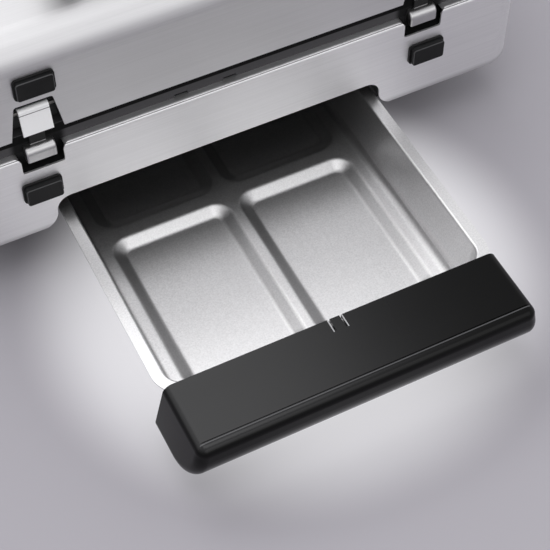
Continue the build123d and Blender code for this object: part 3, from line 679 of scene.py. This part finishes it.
@dataclass(frozen=True)
class CoatedMetal(Finish):
    """Dark non-stick coat with pale specks."""

    tint: Colour = (0.028, 0.027, 0.026)
    speck_tint: Colour = (0.22, 0.22, 0.22)
    roughness: float = 0.42

    def paint(self, tree: ShaderTree) -> None:
        """Paints the specks and the orange-peel of the coat.

        Args:
            tree: The material\'s nodes.
        """
        speck = tree.noise(1500.0, 1.0, 0.5)
        peel = tree.noise(500.0)
        dots = tree.ramp(speck, ((0.62, 0.0), (0.70, 1.0)))
        tree.set(
            Base_Color=tree.mix(dots * 0.35, self.tint, self.speck_tint),
            Roughness=self.roughness + 0.15 * (peel - 0.5),
        )
        tree.bump(peel, 0.15, 0.04 * MM)


@dataclass(frozen=True)
class SoftRubber(Finish):
    """Black rubber that is a little paler where it is rubbed, with painted highlights on its edge slopes.
    """

    tint: Colour = (0.009, 0.009, 0.0093)
    edge_highlight_tint: Colour = (0.085, 0.085, 0.088)
    edge_slopes: Pair = (0.35, 0.93)
    roughness: float = 0.36
    sheen: float = 0.09

    def paint(self, tree: ShaderTree) -> None:
        """Paints dust-fine grain, rubbed patches and painted highlights on the edges.

        Args:
            tree: The material\'s nodes.
        """
        grain = tree.noise(3000.0)
        rub = tree.noise(90.0, 3.0, 0.6)
        pale = shade(self.tint, 2.2)
        slope = abs(tree.normal_axis(Axis.Y))
        # Painted highlights on the fillets around the pad's faces.
        edge = (slope > self.edge_slopes[0]) * (slope < self.edge_slopes[1])
        tree.set(
            Base_Color=tree.mix(edge * 0.8, tree.mix(rub * 0.8, self.tint, pale), self.edge_highlight_tint),
            Roughness=self.roughness + 0.12 * (rub - 0.5),
            Specular_IOR_Level=self.sheen,
        )
        tree.bump(grain, 0.12, 0.03 * MM)


@dataclass(frozen=True)
class LampLens(Finish):
    """Clear red lens with soft patches of deeper red."""

    tint: Colour = (0.42, 0.012, 0.010)

    def paint(self, tree: ShaderTree) -> None:
        """Paints a deeper red in soft patches.

        Args:
            tree: The material\'s nodes.
        """
        cloud = tree.noise(300.0)
        deep = shade(self.tint, 0.45)
        tree.set(
            Base_Color=tree.mix(cloud, deep, self.tint),
            Roughness=0.10 + 0.06 * cloud,
        )


@dataclass(frozen=True)
class Paint(Finish):
    """Pale printed marks."""

    tint: Colour = (0.72, 0.72, 0.70)

    def paint(self, tree: ShaderTree) -> None:
        """Paints slightly worn marks.

        Args:
            tree: The material\'s nodes.
        """
        wear = tree.noise(900.0, 3.0, 0.6)
        dull = shade(self.tint, 0.8)
        tree.set(Base_Color=tree.mix(wear, dull, self.tint), Roughness=0.45 + 0.1 * wear)


@dataclass(frozen=True)
class FloorPaper(Finish):
    """Plain pale paper that the grill stands on, brighter around the tray."""

    tint: Colour = (0.415, 0.400, 0.434)
    glow: Colour = (0.93, 0.92, 0.95)
    half: Pair = (0.095, 0.090)
    middle: Pair = (-0.0065, -0.146)
    corner: float = 0.09
    reach: float = 0.088
    lift: float = 0.65
    roughness: float = 0.85

    def paint(self, tree: ShaderTree) -> None:
        """Paints a soft glow on the paper around the tray, which keeps part of the tray's shadow.

        Args:
            tree: The material\'s nodes.
        """
        grain = tree.noise(900.0)
        near = tree.step(tree.inset(self.half, self.middle, self.corner), (-self.reach, 0.0))
        paper = tree.mix(near, self.tint, self.glow)
        tree.set(Base_Color=paper, Roughness=self.roughness + 0.1 * grain, Specular_IOR_Level=0.1)
        rays = [f"Is {kind} Ray" for kind in ("Camera", "Glossy", "Transmission")]
        camera, glossy, through = [tree.node("ShaderNodeLightPath", output=ray) for ray in rays]
        light = tree.node("ShaderNodeEmission", inputs={"Color": as_input(self.glow), "Strength": 1.0})
        tree.overlay(near * self.lift * (camera + glossy + through), light)


SKIN = BrushedSteel("skirt_brushed_steel", hem_high=0.0445, seam_low=0.1050)
LID_SKIN = BrushedSteel("lid_brushed_steel", tint=(0.74, 0.735, 0.745))
TRAY_STEEL = GrainedSteel("tray_grained_steel")
PULL_PLASTIC = PullPlastic("pull_black_moulding", tint=(0.0015, 0.0015, 0.0015), roughness=0.20, sheen=0.14)
BLACK_PLASTIC = Moulding(
    "fine_black_moulding", tint=(0.006, 0.006, 0.0062), roughness=0.34, grain_depth=0.12, sheen=0.16
)
BAND_PLASTIC = BandPlastic(
    "band_grey_moulding", tint=(0.056, 0.0545, 0.057), roughness=0.46, grain_depth=0.15, sheen=0.06
)
KNOB_PLASTIC = KnobPlastic("knob_black_moulding", roughness=0.30, grain_depth=0.10)
# Thin black bars of painted shade that stand for the screws' cross recesses.
RECESS_SHADE = Moulding("screw_recess_painted_shade", tint=(0.004, 0.004, 0.004), roughness=0.6)
PAN_PLASTIC = Moulding("pan_black_moulding", tint=(0.010, 0.010, 0.010), roughness=0.55, grain_depth=0.2)
LEVER = LeverChrome("lever_chrome")
TRIM_CHROME = PlainMetal("grip_chrome", tint=(0.82, 0.82, 0.83), roughness=0.14, contrast=0.06)
KEEPER_STEEL = KeeperSteel("keeper_satin_steel", tint=(0.56, 0.555, 0.56), roughness=0.34)
ZINC = PlainMetal("zinc_plated_steel")
PIN_STEEL = PlainMetal("pin_dark_steel", tint=(0.14, 0.135, 0.13), roughness=0.42)
BRIGHT_SHEET = PlainMetal("bright_rolled_sheet", tint=(0.72, 0.72, 0.72), roughness=0.24, contrast=0.12)
HEATER_TUBE = PlainMetal("heater_tube_steel", tint=(0.20, 0.185, 0.17), roughness=0.45, contrast=0.35)
BRASS = PlainMetal("inlet_blade_brass", tint=(0.68, 0.50, 0.20), roughness=0.26, contrast=0.15)
PLATE_COAT = CoatedMetal("plate_non_stick_coat")
RUBBER = SoftRubber("soft_black_rubber")
LENS = LampLens("pilot_lens_red")
MARK_PAINT = Paint("dial_mark_paint")
PAPER = FloorPaper("studio_paper")


def node_pair(stem: str) -> List[str]:
    """Names of a node's left and right pieces."""
    return [f"{stem}_{side.label}" for side in Side]


def dress_nodes(names: Iterable[str], finish: Finish) -> None:
    """Puts one finish on several CAD nodes.

    Args:
        names: The nodes' names.
        finish: Their finish.
    """
    for name in names:
        finish.dress(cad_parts[name])
        LOG.info("dressed %s with %s", name, finish.name)


def new_piece(name: str, mesh: bmesh.types.BMesh, finish: Finish, body: str, slot: str) -> bpy.types.Object:
    """Makes a piece from a mesh and lets it ride on a body.

    Args:
        name: The piece's name.
        mesh: Its mesh, which is freed.
        finish: Its finish.
        body: The CAD body that it moves with.
        slot: The record's material slot; not used.

    Returns:
        The new object.
    """
    data = bpy.data.meshes.new(name)
    bmesh.ops.recalc_face_normals(mesh, faces=mesh.faces)
    mesh.to_mesh(data)
    mesh.free()
    obj = bpy.data.objects.new(name, data)
    bpy.context.scene.collection.objects.link(obj)
    finish.dress(obj)
    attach(obj, body)
    LOG.info("made %s on %s", name, body)
    return obj


def add_bar(mesh: bmesh.types.BMesh, low: Point, high: Point, edge: float = 0.0) -> None:
    """Adds a box with softened edges.

    Args:
        mesh: The mesh that it is added to.
        low: Its lowest corner.
        high: Its highest corner.
        edge: Width of the softened edges.
    """
    size = [b - a for a, b in zip(low, high)]
    middle = Vector([(a + b) / 2 for a, b in zip(low, high)])
    place = Matrix.Translation(middle) @ Matrix.Diagonal((*size, 1.0))
    made = bmesh.ops.create_cube(mesh, size=1.0, matrix=place)
    if edge > 0:
        edges = {e for vert in made["verts"] for e in vert.link_edges}
        bmesh.ops.bevel(mesh, geom=list(edges), offset=edge, segments=2, affect="EDGES", profile=0.5)


def islands(obj: bpy.types.Object) -> List[Tuple[Vector, Vector]]:
    """Boxes of an object's separate solids.

    Args:
        obj: The object to read.

    Returns:
        The lowest and highest corner of each solid.
    """
    mesh = bmesh.new()
    mesh.from_mesh(obj.data)
    bmesh.ops.remove_doubles(mesh, verts=mesh.verts, dist=1e-7)
    mesh.transform(obj.matrix_world)
    left = set(mesh.verts)
    boxes = []
    while left:
        stack, seen = [left.pop()], []
        while stack:
            vert = stack.pop()
            seen.append(vert.co.copy())
            near = [edge.other_vert(vert) for edge in vert.link_edges]
            fresh = [other for other in near if other in left]
            left.difference_update(fresh)
            stack.extend(fresh)
        low, high = [Vector([pick(co[axis.value] for co in seen) for axis in Axis]) for pick in (min, max)]
        boxes.append((low, high))
    mesh.free()
    return boxes


@dataclass(frozen=True)
class CrossRecess:
    """Cross recesses on screw heads, drawn as thin bars of painted shade."""

    long: float = 4.2 * MM
    wide: float = 0.9 * MM
    sunk: float = 0.10 * MM

    def mark(self, node: str, body: str, slot: str, axis: Axis) -> None:
        """Marks every screw of a node.

        Args:
            node: The node that holds the screws.
            body: The body that they move with.
            slot: Their material slot; not used.
            axis: The axis that their heads face, outwards from the middle of the part.
        """
        mesh = bmesh.new()
        for low, high in islands(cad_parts[node]):
            middle = (low + high) / 2
            face = high[axis.value] if middle[axis.value] > 0 else low[axis.value]
            flat = [way.value for way in Axis if way is not axis]
            for first, second in (flat, flat[::-1]):
                half = [self.sunk / 2] * len(Axis)
                half[first], half[second] = self.long / 2, self.wide / 2
                centre = middle.copy()
                centre[axis.value] = face
                add_bar(mesh, tuple(centre - Vector(half)), tuple(centre + Vector(half)))
        new_piece(f"{node}_recess", mesh, RECESS_SHADE, body, slot)


@dataclass
class SkirtGroup:
    """Steel skirt, dark band, pan and feet."""

    def build(self) -> None:
        """Dresses the fixed outside of the base."""
        dress_nodes(["base_shell"], SKIN)
        dress_nodes(["deck_ring"], BAND_PLASTIC)
        dress_nodes(["bottom_pan"], PAN_PLASTIC)
        dress_nodes(["rubber_feet", *node_pair("base_bumper"), *node_pair("lid_bumper")], RUBBER)
        dress_nodes(["foot_screws", "rail_rivets", *node_pair("tray_rail")], ZINC)
        dress_nodes(["drain_chute"], BRIGHT_SHEET)


@dataclass
class TrayGroup:
    """Drip tray and its pull."""

    def build(self) -> None:
        """Dresses the tray and its pull."""
        dress_nodes(["drip_tray"], TRAY_STEEL)
        dress_nodes(["tray_handle"], PULL_PLASTIC)
        dress_nodes(["tray_screws"], ZINC)


@dataclass
class LatchGroup:
    """Levers, pockets and keepers of both latches."""

    def build(self) -> None:
        """Dresses both latches."""
        dress_nodes(node_pair("latch_lever"), LEVER)
        dress_nodes([*node_pair("latch_pocket"), *node_pair("keeper_pocket")], BLACK_PLASTIC)
        dress_nodes(node_pair("latch_pin"), PIN_STEEL)
        dress_nodes(node_pair("keeper"), KEEPER_STEEL)


@dataclass
class LidGroup:
    """Lid shell, lining and grip."""

    recess: CrossRecess = CrossRecess(long=4.8 * MM, wide=1.0 * MM)

    def build(self) -> None:
        """Dresses the lid."""
        dress_nodes(["lid_shell"], LID_SKIN)
        dress_nodes(["lid_liner"], BAND_PLASTIC)
        dress_nodes(["lid_grip", "grip_caps"], TRIM_CHROME)
        dress_nodes(node_pair("lid_post"), BLACK_PLASTIC)
        self.recess.mark("grip_caps", "lid", "chrome_trim", Axis.X)


@dataclass
class HeatGroup:
    """Plates, heaters and reflectors."""

    def build(self) -> None:
        """Dresses what lies between the plates and behind them."""
        dress_nodes(["lower_plate", "upper_plate"], PLATE_COAT)
        dress_nodes(["lower_heater", "upper_heater"], HEATER_TUBE)
        dress_nodes(["lower_reflector", "upper_reflector"], BRIGHT_SHEET)
        dress_nodes(["lower_heater_clips", "upper_heater_clips"], BRIGHT_SHEET)


@dataclass
class HingeGroup:
    """Rear hinges."""

    recess: CrossRecess = CrossRecess()

    def build(self) -> None:
        """Dresses the hinges and marks their screws' recesses."""
        stems = ("hinge_base", "hinge_lid", "hinge_pin")
        dress_nodes([name for stem in stems for name in node_pair(stem)], ZINC)
        dress_nodes(["hinge_base_screws", "hinge_lid_screws"], ZINC)
        self.recess.mark("hinge_base_screws", "base", "zinc_steel", Axis.Y)
        self.recess.mark("hinge_lid_screws", "lid", "zinc_steel", Axis.Y)


@dataclass
class ControlGroup:
    """Knobs, dial marks, lamps and thermostats on both sides."""

    axis_y: float = 0.04475
    axis_z: float = 0.074
    face_x: float = 0.2115
    mark_inner: float = 20.8 * MM
    mark_outer: float = 23.6 * MM
    mark_wide: float = 0.7 * MM
    mark_high: float = 0.15 * MM
    mark_count: int = 10
    sweep: float = 270.0

    def build(self) -> None:
        """Dresses the controls and draws the dial marks."""
        dress_nodes(node_pair("knob"), KNOB_PLASTIC)
        dress_nodes(node_pair("knob_bezel"), BLACK_PLASTIC)
        dress_nodes(node_pair("thermostat"), BLACK_PLASTIC)
        dress_nodes(node_pair("knob_shaft"), ZINC)
        dress_nodes(node_pair("pilot_lamp"), LENS)
        for side in Side:
            self.marks(side)

    def marks(self, side: Side) -> None:
        """Makes the ring of marks on one bezel.

        Args:
            side: The bezel's side.
        """
        sign = side.value
        mesh = bmesh.new()
        for k in range(self.mark_count + 1):
            turn = math.radians(self.sweep * k / self.mark_count) * sign
            part = bmesh.new()
            low = (0.0, -self.mark_wide / 2, self.mark_inner)
            high = (self.mark_high, self.mark_wide / 2, self.mark_outer)
            add_bar(part, low, high)
            place = Matrix.Translation((sign * self.face_x, self.axis_y, self.axis_z))
            flip = Matrix.Diagonal((sign, 1.0, 1.0, 1.0))
            bmesh.ops.transform(part, matrix=place @ flip @ Matrix.Rotation(turn, 4, "X"), verts=part.verts)
            data = bpy.data.meshes.new("mark")
            part.to_mesh(data)
            part.free()
            mesh.from_mesh(data)
            bpy.data.meshes.remove(data)
        new_piece(f"dial_marks_{side.label}", mesh, MARK_PAINT, "base", "black_moulding")


@dataclass
class InletGroup:
    """Mains inlet."""

    def build(self) -> None:
        """Dresses the inlet and its blades."""
        dress_nodes(["mains_inlet"], BLACK_PLASTIC)
        dress_nodes(["inlet_pins"], BRASS)


@dataclass(frozen=True)
class Lamp:
    """One soft area lamp."""

    name: str
    place: Point
    aim: Point
    width: float
    height: float
    power: float

    def build(self) -> None:
        """Adds the lamp to the scene."""
        data = bpy.data.lights.new(self.name, "AREA")
        data.shape = "RECTANGLE"
        data.size = self.width
        data.size_y = self.height
        data.energy = self.power
        obj = bpy.data.objects.new(self.name, data)
        obj.location = self.place
        way = Vector(self.aim) - Vector(self.place)
        obj.rotation_euler = way.to_track_quat("-Z", "Y").to_euler()
        bpy.context.scene.collection.objects.link(obj)


@dataclass
class Studio:
    """Floor, lamps, surrounding light and camera."""

    floor_half: float = 30.0
    sky: Colour = (0.98, 0.98, 1.0)
    sky_strength: float = 0.72
    lens: float = 99.23
    sensor: float = 36.0
    azimuth: float = -26.68
    elevation: float = 52.45
    eye: Point = (-0.27986, -0.67009, 0.77856)
    lamps: List[Lamp] = field(default_factory=lambda: [
        Lamp("top_softbox", (-0.1, -0.5, 2.0), (0.0, -0.1, 0.05), 1.4, 1.0, 6.0),
        Lamp("rear_softbox", (-0.25, 0.95, 1.75), (0.0, -0.15, 0.05), 1.8, 1.4, 10.0),
        Lamp("front_softbox", (0.3, -1.9, 1.2), (0.0, -0.1, 0.08), 2.4, 1.2, 8.0),
        Lamp("left_softbox", (-1.6, 0.7, 1.2), (0.0, -0.1, 0.08), 1.4, 1.2, 2.5),
    ])

    def build(self) -> None:
        """Sets the stage."""
        self.floor()
        self.surround()
        for lamp in self.lamps:
            lamp.build()
        self.camera()
        bpy.context.scene.view_settings.view_transform = "Standard"

    def floor(self) -> None:
        """Lays the paper floor."""
        mesh = bmesh.new()
        bmesh.ops.create_grid(mesh, x_segments=1, y_segments=1, size=self.floor_half)
        data = bpy.data.meshes.new("floor")
        mesh.to_mesh(data)
        mesh.free()
        obj = bpy.data.objects.new("floor", data)
        bpy.context.scene.collection.objects.link(obj)
        PAPER.dress(obj)
        obj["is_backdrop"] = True

    def surround(self) -> None:
        """Sets the surrounding light."""
        world = bpy.data.worlds.new("studio")
        bpy.context.scene.world = world
        world.use_nodes = True
        background = world.node_tree.nodes["Background"]
        background.inputs["Color"].default_value = (*self.sky, 1.0)
        background.inputs["Strength"].default_value = self.sky_strength

    def camera(self) -> None:
        """Places the camera as the photo was taken."""
        turn, lift = math.radians(self.azimuth), math.radians(self.elevation)
        back = Vector((math.sin(turn) * math.cos(lift), -math.cos(turn) * math.cos(lift), math.sin(lift)))
        right = Vector((math.cos(turn), math.sin(turn), 0.0))
        up = back.cross(right)
        data = bpy.data.cameras.new("photo_camera")
        data.lens = self.lens
        data.sensor_width = self.sensor
        data.clip_start = 0.01
        obj = bpy.data.objects.new("photo_camera", data)
        turned = Matrix((right, up, back)).transposed().to_4x4()
        obj.matrix_world = Matrix.Translation(self.eye) @ turned
        bpy.context.scene.collection.objects.link(obj)
        bpy.context.scene.camera = obj


def write_sizes() -> None:
    """Works out the CAD box and the visual model's box."""
    boxes = {"cad": CAD_BOX, "visual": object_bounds()}
    boxes = {name: [list(corner) for corner in box] for name, box in boxes.items()}


def main() -> None:
    """Builds every group in order."""
    logging.basicConfig(level=logging.INFO, format="%(name)s: %(message)s")
    groups = (
        SkirtGroup(), TrayGroup(), LatchGroup(), LidGroup(), HeatGroup(),
        HingeGroup(), ControlGroup(), InletGroup(), Studio(),
    )
    for group in groups:
        group.build()
        LOG.info("finished %s", type(group).__name__)
    write_sizes()


if __name__ == "__main__":
    main()
